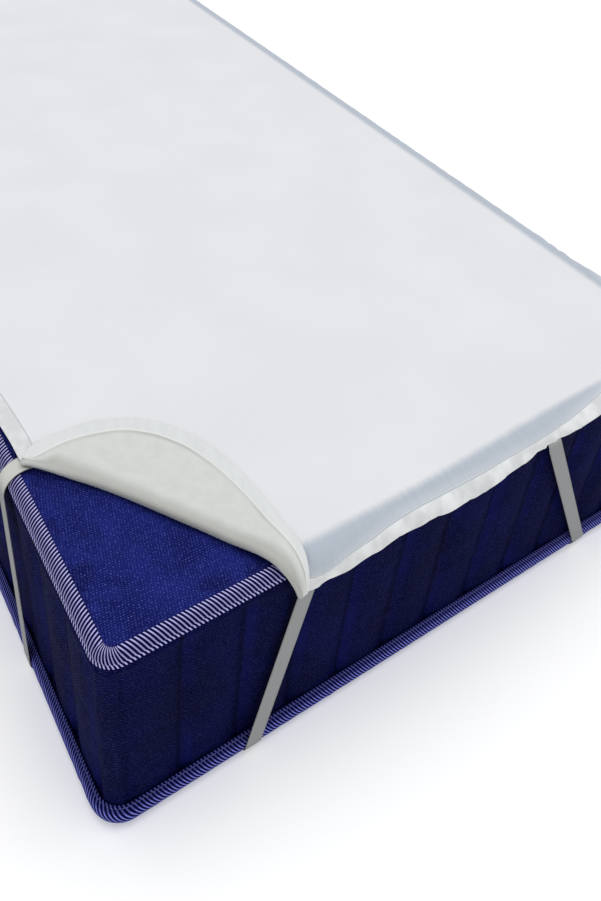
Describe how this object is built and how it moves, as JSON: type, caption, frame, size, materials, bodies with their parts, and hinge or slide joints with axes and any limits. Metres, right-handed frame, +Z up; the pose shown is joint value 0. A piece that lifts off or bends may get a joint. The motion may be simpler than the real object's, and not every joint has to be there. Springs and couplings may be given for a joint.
{
  "type": "waterproof mattress protector on the single mattress that it fits",
  "caption": "White waterproof mattress protector with elastic corner straps on a plain navy single mattress, one corner folded back to show its waterproof side.",
  "frame": {"origin": "middle of the mattress footprint, on the surface that it rests on", "axes": "+Y along the mattress from the end whose corner is turned back, +Z up, +X across"},
  "size_m": [0.9304, 2.0324, 0.318],
  "materials": {
    "ticking": "navy knitted mattress ticking, matt, lightly quilted",
    "binding": "woven binding tape, white and navy cross stripes",
    "protector": "matt white cloth with a smooth waterproof film on its underside",
    "elastic": "woven elastic tape, off-white"
  },
  "bodies": {
    "root": {"mattress": "ticking", "tape_top": "binding", "tape_bottom": "binding", "protector_sheet": "protector", "strap_near_left": "elastic", "strap_near_right": "elastic", "strap_far_left": "elastic", "strap_far_right": "elastic"}
  },
  "joints": []
}
